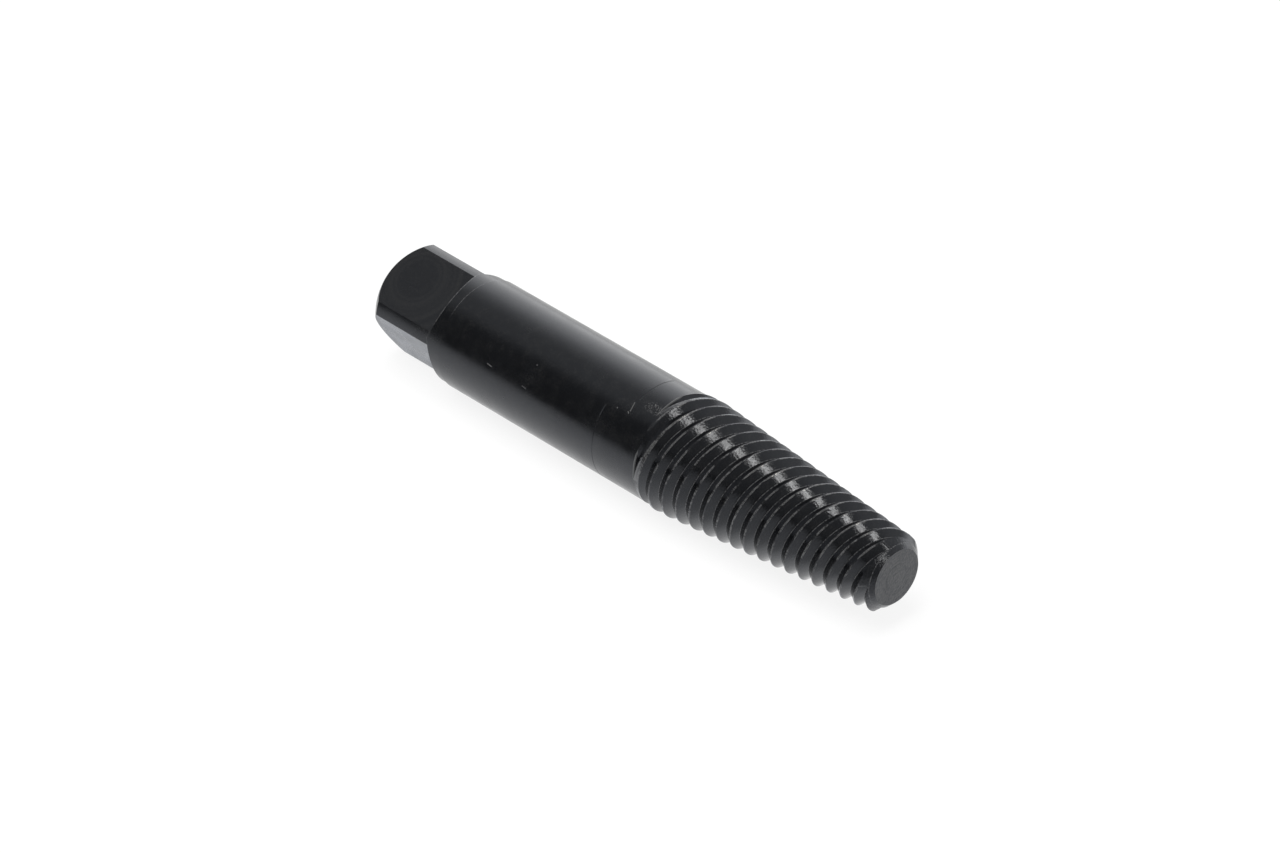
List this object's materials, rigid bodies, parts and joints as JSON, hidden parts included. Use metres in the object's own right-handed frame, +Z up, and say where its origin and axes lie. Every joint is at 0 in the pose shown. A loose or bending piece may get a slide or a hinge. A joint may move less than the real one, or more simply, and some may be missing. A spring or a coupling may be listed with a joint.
{
  "type": "screw extractor",
  "caption": "Blackened steel screw extractor: a plain round shank with a milled square head at one end and a tapered left-hand spiral with a flat chamfered tip at the other.",
  "frame": {"origin": "middle of the bounding box's bottom face, on the surface the tool lies on", "axes": "+X along the tool's axis from the square head to the tip, +Z up, +Y completes the right-handed set"},
  "size_m": [0.091, 0.0164, 0.0165],
  "materials": {
    "blackened_steel": "black oxide, satin, rubbed bright along the crests"
  },
  "bodies": {
    "root": {"screw_extractor": "blackened_steel"}
  },
  "joints": []
}
